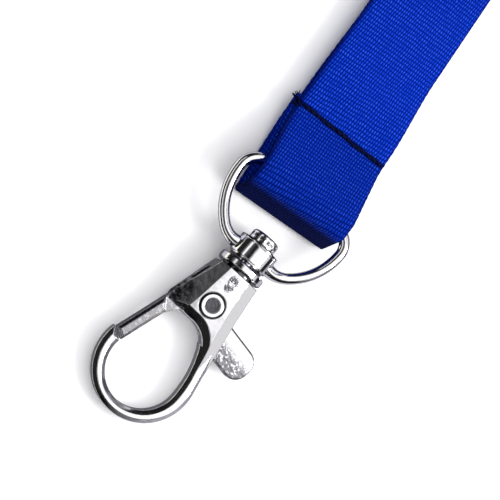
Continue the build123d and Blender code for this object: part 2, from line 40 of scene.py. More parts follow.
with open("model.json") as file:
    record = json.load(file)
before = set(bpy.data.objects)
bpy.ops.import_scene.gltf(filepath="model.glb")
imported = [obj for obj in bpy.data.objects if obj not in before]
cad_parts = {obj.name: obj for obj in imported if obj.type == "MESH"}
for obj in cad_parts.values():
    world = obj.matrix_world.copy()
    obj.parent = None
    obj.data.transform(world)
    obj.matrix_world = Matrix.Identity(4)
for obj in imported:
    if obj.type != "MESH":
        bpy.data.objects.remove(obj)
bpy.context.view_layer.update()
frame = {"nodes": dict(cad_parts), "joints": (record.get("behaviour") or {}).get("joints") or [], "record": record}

MM = 0.001
NODES = frame["nodes"]
JOINTS = {joint["name"]: joint for joint in frame["joints"]}
REST = next(m for m in frame["record"]["mounts"] if m["name"] == "rest_face")

PIVOT = Vector(JOINTS["gate_hinge"]["pos_m"])
TILT = math.asin(JOINTS["hook_swivel"]["axis"][2])  # the hook's lean on the table
BAR = Vector(JOINTS["ring_tilt"]["pos_m"])
UP = Vector((0, 0, 1))
STRAP_DIR = (Vector(REST["pos_m"]) - BAR).xy.normalized().to_3d()
STRAP_CROSS = STRAP_DIR.cross(UP)

# on the hook, in mm along the swivel axis from the gate's pivot
COLLAR = (7.3, 8.75)
BOSS = (9.15, 13.0)
HEAD_END = 15.0
PUNCHES = 11
# strength of the painted shade in the metal's grooves, 1 is the darkest colour
GROOVE_SHADE_STRENGTH = 0.92  # how dark a groove is, 1 is soot
PIT_DEPTH = 0.12 * MM

# the strap's own side view, in mm: s along the strap from the bar, h above the table
FOLD_R = 2.9
FOLD_SET = 0.1
CREASE = (-2.6, 2.35)  # the top crease, from the bar
NOSE = (-4.65, 1.1)  # the lower edge: along, and above the table
NOSE_SKEW = 0.045  # the nose reaches further out on the left
HEEL = (-1.9, 0.55)  # the strap lies on the table here
SEAM_S = 13.0
SEAM_LIFT = 1.6
SEAM_FLAT = 1.5
SEAM_DIP = 0.35  # how deep the seam pulls into the front layer
SEAM_DIP_W = 0.55
FLAP_TAIL = 1.3
REAR_TAIL = 1.6
FLAP_SKEW = -1.0  # the flap lies this far to the left of the front layer at its end
TOUCH_S = 32.0
HANK_S = 58.5
HANK_L = 74.0
BAND_W = 8.0
BAND_T = 0.8
WAIST_SPREAD = 9.0
ROLL_S = (14.0, 34.0, 47.0, 57.5)  # the roll starts, is full, begins to leave, has left
LAYER_ORDER = (0, 3, 4, 7, 8, 11, 10, 9, 6, 5, 2, 1)  # the hank's layers, in the strap's own order


# ---------------------------------------------------------------- settings
class LANYARD_PG_strap(bpy.types.PropertyGroup):
    """Sizes and colours of the woven strap."""

    width: bpy.props.FloatProperty(
        name="Width", description="Width of the strap", default=19 * MM, unit="LENGTH"
    )
    thickness: bpy.props.FloatProperty(
        name="Thickness", description="Thickness of one layer", default=1.0 * MM, unit="LENGTH"
    )
    layer_gap: bpy.props.FloatProperty(
        name="Layer Gap", description="Air between two layers", default=0.06 * MM, unit="LENGTH"
    )
    roll: bpy.props.FloatProperty(
        name="Roll", description="Turn of the strap past the seam", default=math.radians(9), unit="ROTATION"
    )
    rib: bpy.props.FloatProperty(
        name="Rib", description="Width of one warp rib", default=0.5 * MM, unit="LENGTH"
    )
    stitch: bpy.props.FloatProperty(
        name="Float", description="Length of one warp float", default=0.8 * MM, unit="LENGTH"
    )
    # painted shade between the floats
    shade: bpy.props.FloatVectorProperty(
        name="Shade", description="Colour between the floats", subtype="COLOR", size=4,
        default=(0.0, 0.006, 0.15, 1), min=0, max=1,
    )
    colour: bpy.props.FloatVectorProperty(
        name="Colour", description="Colour of the floats", subtype="COLOR", size=4,
        default=(0.0, 0.026, 0.42, 1), min=0, max=1,
    )
    # dark colour of the painted shade on the fold's end face, along the seam and over the loop
    wear_and_shade: bpy.props.FloatVectorProperty(
        name="Worn", description="Colour of the flattened fold", subtype="COLOR", size=4,
        default=(0.0, 0.0015, 0.03, 1), min=0, max=1,
    )
    # painted highlight on the crowns of the floats
    float_highlight: bpy.props.FloatVectorProperty(
        name="Gleam", description="Colour on the crown of a float", subtype="COLOR", size=4,
        default=(0.03, 0.11, 0.78, 1), min=0, max=1,
    )


class LANYARD_PG_metal(bpy.types.PropertyGroup):
    """Finish of the plated metal."""

    tint: bpy.props.FloatVectorProperty(
        name="Tint", description="Colour of clean plating", subtype="COLOR", size=4,
        default=(0.93, 0.92, 0.96, 1), min=0, max=1,
    )
    wear_and_shade: bpy.props.FloatVectorProperty(
        name="Worn", description="Colour of dull plating", subtype="COLOR", size=4,
        default=(0.62, 0.61, 0.66, 1), min=0, max=1,
    )
    # darkest colour of the metal: real marks, and painted shade in grooves and hollows
    shade_tone: bpy.props.FloatVectorProperty(
        name="Soot", description="Colour of the darkest marks", subtype="COLOR", size=4,
        default=(0.05, 0.05, 0.06, 1), min=0, max=1,
    )
    roughness: bpy.props.FloatProperty(
        name="Roughness", description="Roughness of polished plating", default=0.07, min=0, max=1
    )
    edge: bpy.props.FloatProperty(
        name="Edge", description="Radius of the polished edges", default=0.22 * MM, unit="LENGTH"
    )
    ripple: bpy.props.FloatProperty(
        name="Ripple", description="Depth of the casting's waves", default=0.004 * MM, unit="LENGTH"
    )


class LANYARD_PG_seam(bpy.types.PropertyGroup):
    """Sewing thread and storage band."""

    stitch_length: bpy.props.FloatProperty(
        name="Stitch", description="Length of one stitch", default=3.9 * MM, unit="LENGTH"
    )
    thread_width: bpy.props.FloatProperty(
        name="Thread", description="Width of the thread", default=0.85 * MM, unit="LENGTH"
    )
    thread: bpy.props.FloatVectorProperty(
        name="Thread Colour", description="Colour of the thread", subtype="COLOR", size=4,
        default=(0.0, 0.001, 0.016, 1), min=0, max=1,
    )
    band: bpy.props.FloatVectorProperty(
        name="Band Colour", description="Colour of the elastic band", subtype="COLOR", size=4,
        default=(0.012, 0.012, 0.016, 1), min=0, max=1,
    )


class LANYARD_PG_stage(bpy.types.PropertyGroup):
    """Floor, light and camera."""

    distance: bpy.props.FloatProperty(
        name="Distance", description="Camera to the object", default=250 * MM, unit="LENGTH"
    )
    lean: bpy.props.FloatProperty(
        name="Lean", description="Camera off the vertical", default=math.radians(18), unit="ROTATION"
    )
    turn: bpy.props.FloatProperty(
        name="Turn", description="Camera about the vertical", default=math.radians(40.9), unit="ROTATION"
    )
    lens: bpy.props.FloatProperty(
        name="Lens", description="Focal length in millimetres on a 36 mm sensor", default=105.7, min=10
    )
    key: bpy.props.FloatProperty(
        name="Key", description="Power of the side softbox in watts", default=1.7, min=0
    )
    sky: bpy.props.FloatProperty(
        name="Sky", description="Strength of the overhead softbox", default=1.5, min=0
    )
    fill: bpy.props.FloatProperty(
        name="Fill", description="Power of the light from above in watts", default=2.2, min=0
    )


# ---------------------------------------------------------------- shader maths
class Value:
    """One shader socket; arithmetic on it adds Math nodes."""

    def __init__(self, paint, socket):
        self.paint = paint
        self.socket = socket

    def maths(self, operation, *others):
        inputs = {i + 1: other for i, other in enumerate(others)}
        return self.paint.add("ShaderNodeMath", {"operation": operation}, {0: self, **inputs})

    def __add__(self, other):
        return self.maths("ADD", other)

    def __sub__(self, other):
        return self.maths("SUBTRACT", other)

    def __rsub__(self, other):
        return self.paint.add("ShaderNodeMath", {"operation": "SUBTRACT"}, {0: other, 1: self})

    def __mul__(self, other):
        return self.maths("MULTIPLY", other)

    def __truediv__(self, other):
        return self.maths("DIVIDE", other)

    def __pow__(self, other):
        return self.maths("POWER", other)

    __radd__ = __add__
    __rmul__ = __mul__

    def floor(self):
        return self.maths("FLOOR")

    def fraction(self):
        return self.maths("FRACT")

    def size(self):
        return self.maths("ABSOLUTE")

    def ramp(self, low, high, bottom=0.0, top=1.0):
        """Goes smoothly from bottom to top as the value goes from low to high."""
        return self.paint.add(
            "ShaderNodeMapRange",
            {"interpolation_type": "SMOOTHSTEP"},
            {"Value": self, "From Min": low, "From Max": high, "To Min": bottom, "To Max": top},
        )

    def arch(self):
        """A round arch over 0 to 1: no height at the ends, 1 in the middle."""
        return self * (1 - self) * 4


class Nodes:
    """A node tree as it is made."""

    def __init__(self, owner):
        owner.use_nodes = True
        self.tree = owner.node_tree
        self.tree.nodes.clear()

    def add(self, kind, settings=None, sockets=None, output=0):
        """A node with its settings and its sockets' values or links; gives one output."""
        node = self.tree.nodes.new(kind)
        for name, value in (settings or {}).items():
            setattr(node, name, value)
        for name, value in (sockets or {}).items():
            self.join(value, node.inputs[name])
        return Value(self, node.outputs[output])

    def join(self, value, socket):
        if isinstance(value, Value):
            self.tree.links.new(value.socket, socket)
        else:
            socket.default_value = value

    def dot(self, vector, axis):
        """How far a vector goes along an axis."""
        return self.add(
            "ShaderNodeVectorMath", {"operation": "DOT_PRODUCT"}, {0: vector, 1: tuple(axis)}, "Value"
        )

    def split(self, vector):
        node = self.tree.nodes.new("ShaderNodeSeparateXYZ")
        self.join(vector, node.inputs[0])
        return [Value(self, socket) for socket in node.outputs]

    def stretch(self, vector, x, y, z):
        return self.add(
            "ShaderNodeVectorMath", {"operation": "MULTIPLY"}, {0: vector, 1: (x, y, z)}
        )

    def noise(self, vector, scale, detail=2.0, roughness=0.5):
        return self.add(
            "ShaderNodeTexNoise",
            {},
            {"Vector": vector, "Scale": scale, "Detail": detail, "Roughness": roughness},
        )

    def mix(self, factor, low, high):
        """A colour between two colours."""
        return self.add(
            "ShaderNodeMix",
            {"data_type": "RGBA"},
            {"Factor": factor, 6: low, 7: high},
            output=2,
        )

    def bump(self, height, depth, normal=None):
        """A normal pushed by a height of 0 to 1 that is depth metres deep."""
        sockets = {"Strength": 1.0, "Distance": depth, "Height": height}
        if normal is not None:
            sockets["Normal"] = normal
        return self.add("ShaderNodeBump", {}, sockets)


class Paint(Nodes):
    """A material as it is made."""

    def __init__(self, name, **constants):
        self.material = bpy.data.materials.new(name)
        super().__init__(self.material)
        self.shader = self.tree.nodes.new("ShaderNodeBsdfPrincipled")
        output = self.tree.nodes.new("ShaderNodeOutputMaterial")
        self.tree.links.new(self.shader.outputs[0], output.inputs["Surface"])
        for socket, value in constants.items():
            self.shader.inputs[socket.replace("_", " ")].default_value = value

    def set(self, **sockets):
        """Joins values to the shader's own sockets."""
        for name, value in sockets.items():
            self.join(value, self.shader.inputs[name.replace("_", " ")])

    def placed(self, origin, turn, scale=MM):
        """Object coordinates seen from an origin and a turn, in units of scale."""
        where = self.add("ShaderNodeTexCoord", output="Object")
        return self.add(
            "ShaderNodeMapping",
            {"vector_type": "TEXTURE"},
            {"Vector": where, "Location": origin, "Rotation": turn, "Scale": (scale, scale, scale)},
        )


# ---------------------------------------------------------------- metal
def plating(name, metal, marks, grain=0.02, waves=1.0):
    """Bright plating over a casting: slow waves, fine grain, and the marks of one piece.

    marks gives two values of 0 to 1 over the piece: how rough and how dark it is; the dark value holds real marks
    and painted shade in grooves and hollows.
    """
    paint = Paint(name, Metallic=1.0)
    place = paint.placed(PIVOT, (TILT, 0, 0))
    wave = paint.noise(place, 0.42, 1.5)
    dull = paint.noise(place, 1.3, 4.0, 0.6).ramp(0.56, 0.8)
    speck = paint.noise(place, 7.0, 2.0)
    mark, shade = marks(paint, place)
    wear = dull * 0.25 + mark * 0.75
    # the dark value pulls the colour toward the darkest colour: real marks, and painted shade
    paint.set(
        Base_Color=paint.mix(
            shade, paint.mix(wear, tuple(metal.tint), tuple(metal.wear_and_shade)), tuple(metal.shade_tone)
        ),
        Roughness=metal.roughness + grain * speck + dull * 0.06 + mark * 0.16,
    )
    edge = paint.add("ShaderNodeBevel", {"samples": 6}, {"Radius": metal.edge})
    slow = paint.bump(wave, metal.ripple * waves * 10, edge)
    pits = paint.noise(place, 3.1, 3.0, 0.65)
    paint.set(Normal=paint.bump(pits * mark, PIT_DEPTH, slow))
    return paint.material


def between(value, low, high, soft=0.06):
    """1 where the value lies between two others, 0 outside."""
    return value.ramp(low - soft, low + soft) * value.ramp(high + soft, high - soft)


def ring_groove_shade(paint, place):
    """Painted shade in the grooves at both ends of the boss."""
    x, y, z = paint.split(place)
    boss = (x * x + z * z) ** 0.5
    # painted shade in both grooves of the boss
    boss_groove_shade = between(y, BOSS[0] - 0.15, BOSS[0] + 0.25) + between(y, BOSS[1] - 0.22, BOSS[1] + 0.1)
    return 0.0, boss_groove_shade * boss.ramp(4.4, 4.1) * GROOVE_SHADE_STRENGTH


def stud_punches_and_shade(paint, place):
    """Punch marks round the riveted end and painted shade in the groove where it meets the boss."""
    x, y, z = paint.split(place)
    angle = paint.add("ShaderNodeMath", {"operation": "ARCTAN2"}, {0: x, 1: z})
    punch = (angle * (PUNCHES / math.tau)).fraction().arch().ramp(0.45, 0.6)
    rows = between(y, HEAD_END - 1.25, HEAD_END - 0.7, 0.05)
    rows += between(y, HEAD_END - 0.35, HEAD_END + 0.2, 0.05) * 0.8
    # the second value adds painted shade in the groove against the boss
    return punch * rows * 0.5, punch * rows * 0.9 + between(y, BOSS[1] - 0.1, BOSS[1] + 0.3) * 0.8


def body_marks_and_shade(paint, place):
    """Sand marks of the casting: between rivet and collar, and all down the left flank; painted shade on the left
    of the face, toward the flank's outer edge, and in the grooves at both ends of the collar.
    """
    x, y, z = paint.split(place)
    smudge = (((x - 0.1) / 0.95) ** 2 + ((y - 4.9) / 1.7) ** 2).ramp(1.3, 0.35)
    flank = x.ramp(-2.3, -3.2) * y.ramp(-8.0, -5.5)
    toe = (((x - 4.2) / 1.6) ** 2 + ((y + 20.7) / 1.6) ** 2).ramp(1.2, 0.3)
    blotch = paint.noise(place, 1.15, 3.0, 0.6).ramp(0.38, 0.6)
    # painted shade: the face darker toward its left side
    cheek_shade = x.ramp(-0.2, -2.5) * y.ramp(-6.0, -3.0) * 0.3
    # painted shade in the grooves under and above the collar
    collar_groove_shade = between(y, COLLAR[0] - 0.6, COLLAR[0] - 0.02)
    collar_groove_shade += between(y, COLLAR[1] - 0.13, COLLAR[1] + 0.15)
    # painted shade: the left flank darker toward its outer edge
    corner = x.ramp(-2.6, -5.2) * between(y, -4.6, 1.0, 1.5) * 0.8
    shade = smudge * blotch * 0.8 + (cheek_shade + corner) * (blotch * 0.5 + 0.5) + collar_groove_shade * GROOVE_SHADE_STRENGTH
    return (smudge * 1.2 + flank * 0.12 + toe * 0.2) * blotch, shade


def lever_marks(paint, place):
    """Dimples over the lower half of the thumb tab and a rough patch on the gate."""
    x, y, z = paint.split(place)
    down = (y + 0.4) * -0.983 + (x - 5.6) * -0.186
    tab = x.ramp(5.0, 6.5) * down.ramp(1.6, 3.6)
    gate = x.ramp(-3.4, -4.4)
    blotch = paint.noise(place, 1.5, 3.0, 0.6).ramp(0.3, 0.55)
    return (tab + gate * 0.2) * blotch, gate * (blotch * 0.25 + 0.35) + tab * blotch * 0.75


def rivet_marks_and_shade(paint, place):
    """A dull cup in the middle of the head and a line round its edge, both darkened with painted shade."""
    x, y, z = paint.split(place)
    out = (x * x + y * y) ** 0.5
    cup = out.ramp(1.4, 1.2)
    # painted shade in the cup and round the head's edge
    return cup * 0.6, cup * 0.95 + out.ramp(1.82, 1.96)


def spring_finish(metal):
    """Drawn wire: grey, with fine lines."""
    paint = Paint("spring_wire", Metallic=1.0)
    place = paint.placed(PIVOT, (TILT, 0, 0))
    lines = paint.noise(paint.stretch(place, 6, 6, 30), 1.0, 2.0)
    paint.set(
        Base_Color=paint.mix(lines, (0.34, 0.34, 0.36, 1), (0.52, 0.52, 0.55, 1)),
        Roughness=0.24 + lines * 0.16,
        Normal=paint.bump(lines, 0.01 * MM),
    )
    return paint.material


class LANYARD_OT_metal(bpy.types.Operator):
    """Plate the hook, lever, ring, stud and rivet, and finish the spring"""

    bl_idname = "lanyard.metal"
    bl_label = "Finish Metal"

    def execute(self, context):
        metal = context.scene.lanyard_metal
        body = plating("chrome_cast", metal, body_marks_and_shade)
        lever = plating("chrome_lever", metal, lever_marks)
        wire = plating("chrome_wire", metal, ring_groove_shade, 0.01, 0.5)
        turned = plating("chrome_turned", metal, stud_punches_and_shade, 0.04, 0.4)
        rivet = plating("chrome_rivet", metal, rivet_marks_and_shade, 0.04, 0.4)
        finishes = {
            "hook_body": body,
            "gate_lever": lever,
            "swivel_ring": wire,
            "swivel_stud": turned,
            "pivot_rivet": rivet,
            "gate_spring": spring_finish(metal),
        }
        for node, material in finishes.items():
            for slot in NODES[node].material_slots:
                slot.material = material
        return {"FINISHED"}


# ---------------------------------------------------------------- strap
def smooth(value, low, high):
    """0 to 1, smoothly, as the value goes from low to high."""
    t = min(1.0, max(0.0, (value - low) / (high - low)))
    return t * t * (3 - 2 * t)


def run(a, b, step):
    """Points on a straight run, without its last."""
    count = max(1, round((Vector(b) - Vector(a)).length / step))
    return [tuple(Vector(a).lerp(Vector(b), i / count)) for i in range(count)]


def eased(a, b, step):
    """Points on a slope that starts and ends level, without its last."""
    count = max(1, round(abs(b[0] - a[0]) / step))
    parts = [i / count for i in range(count)]
    return [(a[0] + (b[0] - a[0]) * t, a[1] + (b[1] - a[1]) * smooth(t, 0, 1)) for t in parts]


def bend(centre, radius, start, end, count):
    """Points on an arc from one angle to another, in degrees, with its last."""
    angles = [math.radians(start + (end - start) * i / count) for i in range(count + 1)]
    return [(centre[0] + radius * math.cos(a), centre[1] + radius * math.sin(a)) for a in angles]


def rounded(before, corner, after, cut, count=6):
    """Points of a soft corner that begins and ends a cut away from it."""
    a = Vector(corner) + (Vector(before) - Vector(corner)).normalized() * cut
    b = Vector(corner) + (Vector(after) - Vector(corner)).normalized() * cut
    parts = [i / count for i in range(count + 1)]
    return [tuple(a.lerp(Vector(corner), t).lerp(Vector(corner).lerp(b, t), t)) for t in parts]


def touch_angle(point, centre, radius, side):
    """The angle at which a line from a point touches a circle, in degrees."""
    d = Vector(point) - Vector(centre)
    reach = math.sqrt(d.length_squared - radius * radius)
    return math.degrees(math.atan2(d.y, d.x) + side * math.atan2(reach, radius))


class Strap:
    """The strap's course in its own side view, in mm, and the places that others need."""

    def __init__(self, strap):
        self.t = strap.thickness / MM
        self.layer = self.t + strap.layer_gap / MM
        self.rear = SEAM_LIFT + self.t / 2
        self.flap = self.rear + self.layer
        self.front = self.flap + self.layer
        self.flap_end = SEAM_S + FLAP_TAIL
        self.flat = SEAM_S - SEAM_FLAT
        self.hank_h = len(LAYER_ORDER) * self.layer
        self.waist = HANK_S + HANK_L / 2

    def level(self, layer):
        return self.t / 2 + layer * self.layer

    def hank(self):
        """Every run of the hank and the folds between them, in the strap's own order."""
        reach = 1.5 * self.layer + self.t / 2 + 0.6
        near, far = HANK_S + reach, HANK_S + HANK_L - reach
        points = []
        start = (TOUCH_S, self.level(0))
        for i, (here, there) in enumerate(zip(LAYER_ORDER, LAYER_ORDER[1:])):
            middle = (self.level(here) + self.level(there)) / 2
            radius = abs(self.level(there) - self.level(here)) / 2
            stray = 0.55 * math.sin(2.3 * middle)
            turn = far + stray if i % 2 == 0 else near - stray
            first = -90 if there > here else 90
            last = -first if i % 2 == 0 else 3 * first
            points += run(start, (turn, self.level(here)), 0.75)
            points += bend((turn, middle), radius, first, last, 10)
            start = (turn, self.level(there))
        return points + run(start, (TOUCH_S, self.level(1)), 0.75)

    def course(self):
        """The whole centreline and, for each point, how far it has gone round the bar, 0 to 1."""
        fine = 0.3
        bar = (FOLD_SET, BAR.z / MM)
        top_run, low_run = (self.flat, self.front), (self.flat, self.flap)
        top = touch_angle(top_run, bar, FOLD_R, 1)
        crest = bend(bar, FOLD_R, top, 96, 10)
        crease, nose, heel = (CREASE[0], bar[1] + CREASE[1]), NOSE, HEEL
        fold = crest + rounded(crest[-1], crease, nose, 0.8, 10)
        fold += rounded(crease, nose, heel, 0.9, 12) + rounded(nose, heel, low_run, 0.8, 8)
        rear = run((SEAM_S - REAR_TAIL, self.rear), (self.flap_end, self.rear), fine)
        rear += eased((self.flap_end, self.rear), (TOUCH_S, self.level(0)), fine)
        front_end = self.flap_end + self.t
        front = eased((TOUCH_S, self.level(1)), (front_end, self.front), fine)
        corner = rounded((front_end, self.front), top_run, fold[0], 1.4)
        front += run((front_end, self.front), corner[0], 0.12) + corner
        front += run(corner[-1], fold[0], fine)
        back = rounded(fold[-1], low_run, (self.flap_end, self.flap), 1.2)
        flap = run(fold[-1], back[0], fine) + back
        flap += run(back[-1], (self.flap_end, self.flap), fine) + [(self.flap_end, self.flap)]
        before = rear + self.hank() + front
        last = len(fold) - 1
        turned = [0.0] * len(before) + [i / last for i in range(last + 1)] + [1.0] * (len(flap) - 1)
        return before + fold + flap[1:], turned

    def squeeze(self, s):
        """How much the band pulls the hank together at s."""
        waist = 1 - (self.hank_h - 2 * (BAND_T + 0.15)) / self.hank_h
        off = abs(s - self.waist)
        return 1 - waist * (1 - smooth(off, BAND_W / 2 + 0.3, WAIST_SPREAD))


def strap_point(s, h, x, roll=0.0, half_w=10.0):
    """A place on the strap in the row frame, rolled up about its right edge."""
    inward = half_w - x
    out = half_w - inward * math.cos(roll)
    lift = inward * math.sin(roll)
    return BAR.xy.to_3d() + STRAP_DIR * s * MM + STRAP_CROSS * out * MM + UP * (h + lift) * MM


def cross_section(half_w, thickness, across=12):
    """The ribbon's outline: places across in mm, and sides from 1 on top to -1 below."""
    flat_w = half_w - 0.35 * thickness
    rim_w = half_w - 0.1 * thickness
    top = [(-flat_w + 2 * flat_w * j / across, 1.0) for j in range(across + 1)]
    edge = [(rim_w, 0.62), (half_w, 0.0), (rim_w, -0.62)]
    return top + edge + [(-x, -h) for x, h in top] + [(-x, -h) for x, h in edge]


def tube_faces(rings, ring):
    """Faces that join rings of points into a tube closed at both ends."""
    faces = []
    for i in range(rings - 1):
        for j in range(ring):
            k = (j + 1) % ring
            faces.append((i * ring + j, i * ring + k, (i + 1) * ring + k, (i + 1) * ring + j))
    last = (rings - 1) * ring
    return faces + [tuple(reversed(range(ring))), tuple(range(last, last + ring))]


def ribbon(strap):
    """The strap as one closed ribbon with round edges; its map is in mm, across and along.

    Gives the piece, its length, and how far along it the fold's end face starts and ends and
    the seam lies.
    """
    course = Strap(strap)
    line, turned = course.course()
    half_w = strap.width / MM / 2
    half_t = course.t / 2 * 0.96
    section = cross_section(half_w, course.t)
    verts, uvs, length = [], [], 0.0
    end_face, sewn = [0.0, 0.0], 0.0
    for i, (s, h) in enumerate(line):
        before, after = Vector(line[max(0, i - 1)]), Vector(line[min(len(line) - 1, i + 1)])
        if i:
            length += (Vector(line[i]) - Vector(line[i - 1])).length
        way = (after - before).normalized()
        normal = Vector((-way.y, way.x))
        pull = course.squeeze(s)
        middle = course.hank_h / 2
        height = middle + (h - middle) * pull
        roll = strap.roll * smooth(s, *ROLL_S[:2]) * (1 - smooth(s, *ROLL_S[2:]))
        nap = 0.07 * abs(math.sin(math.pi * length / 1.5))
        skew = FLAP_SKEW * smooth(turned[i], 0.45, 1.0) * smooth(s, -4.0, SEAM_S)
        nose_reach = NOSE_SKEW * smooth(-s, 1.0, 4.0)
        on_front = h > course.front - 0.6 and turned[i] == 0.0
        dip = SEAM_DIP * (1 - smooth(abs(s - SEAM_S), 0, SEAM_DIP_W)) if on_front else 0.0
        for x, side in section:
            rim = (abs(x) / half_w) ** 6
            out = x + math.copysign(nap * rim, x) + skew
            crown = 0.22 * (1 - (x / half_w) ** 2) * smooth(s, *ROLL_S[:2]) * (s < HANK_S)
            face = side * half_t * pull
            sunk = dip if side > 0 else dip * 0.4
            verts.append(
                strap_point(
                    s + normal.x * face + nose_reach * x,
                    height + normal.y * face + crown - sunk,
                    out,
                    roll,
                    half_w,
                )
            )
            uvs.append((x, length))
        if 0.2 < turned[i] < 0.75 and s < CREASE[0] - 0.1:
            end_face = [end_face[0] or length, length]
        if on_front and s > SEAM_S:
            sewn = length
    mesh = bpy.data.meshes.new("strap_webbing")
    mesh.from_pydata(verts, [], tube_faces(len(line), len(section)))
    layer = mesh.uv_layers.new(name="weave")
    for loop in mesh.loops:
        layer.data[loop.index].uv = uvs[loop.vertex_index]
    piece = bpy.data.objects.new("strap_webbing", mesh)
    bpy.context.scene.collection.objects.link(piece)
    only(piece)
    bpy.ops.object.mode_set(mode="EDIT")
    bpy.ops.mesh.select_all(action="SELECT")
    bpy.ops.mesh.normals_make_consistent(inside=False)
    bpy.ops.object.mode_set(mode="OBJECT")
    bpy.ops.object.shade_smooth_by_angle(angle=math.radians(60))
    return piece, length * MM, (*end_face, sewn)


def webbing(strap, places):
    """Polyester webbing: staggered warp floats in slanting rows, with painted highlights on their crowns and
    painted shade between them, at the edge, along the seam, over the loop and on the fold's end face.
    """
    paint = Paint("strap_weave", Specular_IOR_Level=0.02)
    u, v, w = paint.split(paint.add("ShaderNodeUVMap", {"uv_map": "weave"}))
    place = paint.add("ShaderNodeUVMap", {"uv_map": "weave"})
    sway = paint.noise(place, 0.35, 2.0) - 0.5
    across = (u + v * 0.1 + sway * 0.5) / (strap.rib / MM)
    column = across.floor()
    along = v / (strap.stitch / MM) + column * 0.09 + sway * 0.6
    row = along.floor()
    grid = paint.add("ShaderNodeCombineXYZ", {}, {0: column, 1: row, 2: 0.0})
    chance = paint.add("ShaderNodeTexWhiteNoise", {"noise_dimensions": "3D"}, {"Vector": grid})
    crown = across.fraction().arch() ** 1.1 * along.fraction().arch() ** 0.7
    fibre = paint.noise(paint.stretch(place, 9.0, 1.2, 1.0), 1.0, 2.0)
    # painted shade along both edges of the strap
    rim = u.size().ramp(strap.width / MM / 2 - 0.75, strap.width / MM / 2 - 0.15)
    # painted shade between the floats, lighter on their crowns
    body = paint.mix(
        crown.ramp(0.1, 0.7) * (1 - rim * 0.9), tuple(strap.shade), tuple(strap.colour)
    )
    # painted highlight on the crowns of the floats
    float_highlight = crown.ramp(0.6, 1.0) * (chance * 0.8 + 0.1) * (1 - rim) * fibre.ramp(0.3, 0.7, 0.5, 1.0)
    cloud = paint.noise(place, 0.12, 3.0).ramp(0.3, 0.75, 0.0, 0.35)
    start, end, sewn = places
    # painted shade in the groove along the seam
    seam = (v - sewn).size().ramp(0.75, 0.2)
    # painted shade over the loop between the seam and the fold
    loop = between(v, sewn, start, 0.5) * 0.26
    # painted shade on the fold's end face, which faces away from the light
    fold = v.ramp(start - 0.4, start + 2.2) * v.ramp(end + 0.8, end + 0.2)
    cloth = paint.mix(cloud * crown, paint.mix(float_highlight, body, tuple(strap.float_highlight)), tuple(strap.colour))
    paint.set(
        Base_Color=paint.mix(fold * 0.9 + seam * 0.8 + loop, cloth, tuple(strap.wear_and_shade)),
        Roughness=0.62 - crown * 0.18,
        Normal=paint.bump(crown + fibre * 0.2, 0.13 * MM),
    )
    return paint.material


def only(piece):
    """Selects one object and nothing else, and makes it active."""
    bpy.ops.object.select_all(action="DESELECT")
    piece.select_set(True)
    bpy.context.view_layer.objects.active = piece


class LANYARD_OT_strap(bpy.types.Operator):
    """Weave the strap as one ribbon from its rear tail to its flap"""

    bl_idname = "lanyard.strap"
    bl_label = "Weave Strap"

    def execute(self, context):
        strap = context.scene.lanyard_strap
        piece, length, places = ribbon(strap)
        piece.data.materials.append(webbing(strap, places))
        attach(piece, "strap")
        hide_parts("strap_ring_loop", "strap_front_leg", "strap_rear_leg", "strap_hank")
        print(f"strap cut length {length:.3f} m")
        return {"FINISHED"}


# ---------------------------------------------------------------- seam
def thread_finish(seam):
    """Twisted sewing thread: near-black navy with fine fibres."""
    paint = Paint("seam_thread", Specular_IOR_Level=0.06)
    place = paint.placed((0, 0, 0), (0, 0, 0))
    fibre = paint.noise(paint.stretch(place, 2.0, 9.0, 9.0), 1.0, 3.0)
    light = tuple(min(1.0, c * 2.5) for c in seam.thread[:3]) + (1,)
    paint.set(
        Base_Color=paint.mix(fibre.ramp(0.4, 0.75), tuple(seam.thread), light),
        Roughness=0.6 + fibre * 0.2,
        Normal=paint.bump(fibre, 0.05 * MM),
    )
    return paint.material


def apply_all(piece):
    """Applies every modifier of a piece and puts its place in its mesh."""
    only(piece)
    for modifier in list(piece.modifiers):
        bpy.ops.object.modifier_apply(modifier=modifier.name)
    bpy.ops.object.transform_apply(location=True, rotation=True, scale=True)


def one_stitch(seam):
    """A two-ply stitch lying along X with both ends pulled down, centred on the origin."""
    long, wide = seam.stitch_length, seam.thread_width
    bpy.ops.object.select_all(action="DESELECT")
    bpy.ops.mesh.primitive_cylinder_add(
        vertices=10, radius=wide / 2, depth=long, rotation=(0, math.pi / 2, 0)
    )
    piece = bpy.context.active_object
    bpy.ops.object.transform_apply(location=True, rotation=True, scale=True)
    bpy.ops.object.mode_set(mode="EDIT")
    bpy.ops.mesh.select_all(action="SELECT")
    for i in range(1, 16):
        bpy.ops.mesh.select_all(action="SELECT")
        bpy.ops.mesh.bisect(
            plane_co=(long * (i / 16 - 0.5), 0, 0), plane_no=(1, 0, 0), clear_inner=False
        )
    bpy.ops.mesh.select_all(action="SELECT")
    bpy.ops.transform.resize(value=(1, 0.62, 1))
    bpy.ops.object.mode_set(mode="OBJECT")
    twist = piece.modifiers.new("ply", "SIMPLE_DEFORM")
    twist.deform_method = "TWIST"
    twist.deform_axis = "X"
    twist.angle = math.radians(620)
    apply_all(piece)
    for vertex in piece.data.vertices:
        end = abs(vertex.co.x) / (long / 2)
        vertex.co.y *= 1.2 - 0.6 * end**3
        vertex.co.z = vertex.co.z * (1 - 0.3 * end**3) * 0.8 - 0.2 * wide * end**3
    bpy.ops.object.shade_smooth()
    return piece


def joined(pieces, name):
    """Several objects as one, under a name."""
    bpy.ops.object.select_all(action="DESELECT")
    for piece in pieces:
        piece.select_set(True)
    bpy.context.view_layer.objects.active = pieces[0]
    if len(pieces) > 1:
        bpy.ops.object.join()
    row = bpy.context.active_object
    row.name = row.data.name = name
    return row


